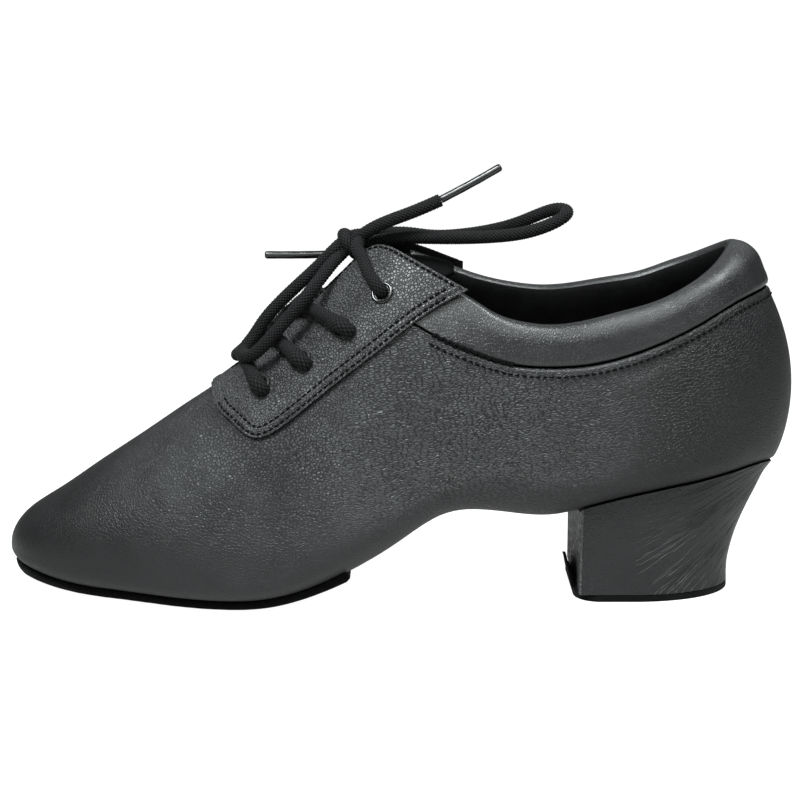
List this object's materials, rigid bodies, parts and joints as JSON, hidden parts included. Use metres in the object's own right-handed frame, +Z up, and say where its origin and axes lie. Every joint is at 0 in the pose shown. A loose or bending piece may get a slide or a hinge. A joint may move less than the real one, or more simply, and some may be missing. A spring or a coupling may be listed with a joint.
{
  "type": "latin dance shoe",
  "caption": "Black leather lace-up dance shoe for the left foot: hollow upper with a padded collar, suede forefoot sole, bare arch and a covered Cuban heel with a suede tip.",
  "frame": {"origin": "middle of the shoe's length and width on the floor, the lace bow left out", "axes": "+Z up; the toe points to -X, the heel to +X; the outer side of the foot faces -Y"},
  "size_m": [0.278, 0.0936, 0.1508],
  "materials": {
    "upper_leather": "satin pebble grain",
    "collar_leather": "soft satin",
    "heel_cover": "stretched satin leather over a plastic block",
    "lining": "matt",
    "suede": "napped suede",
    "eyelet_metal": "dark enamel",
    "lace_braid": "round braid",
    "aglet_sleeve": "gloss"
  },
  "bodies": {
    "root": {"upper": "upper_leather", "eyestay": "upper_leather", "collar": "collar_leather", "tongue": "lining", "insole": "lining", "outsole": "suede", "heel": "heel_cover", "heel_tip": "suede", "eyelet_lateral_1": "eyelet_metal", "eyelet_lateral_2": "eyelet_metal", "eyelet_lateral_3": "eyelet_metal", "eyelet_lateral_4": "eyelet_metal", "eyelet_medial_1": "eyelet_metal", "eyelet_medial_2": "eyelet_metal", "eyelet_medial_3": "eyelet_metal", "eyelet_medial_4": "eyelet_metal", "lace_bar": "lace_braid", "lace_cross_lower": "lace_braid", "lace_cross_upper": "lace_braid", "lace_knot": "lace_braid", "lace_loop_front": "lace_braid", "lace_loop_back": "lace_braid", "lace_end_front": "lace_braid", "lace_end_back": "lace_braid", "aglet_front": "aglet_sleeve", "aglet_back": "aglet_sleeve"}
  },
  "joints": []
}
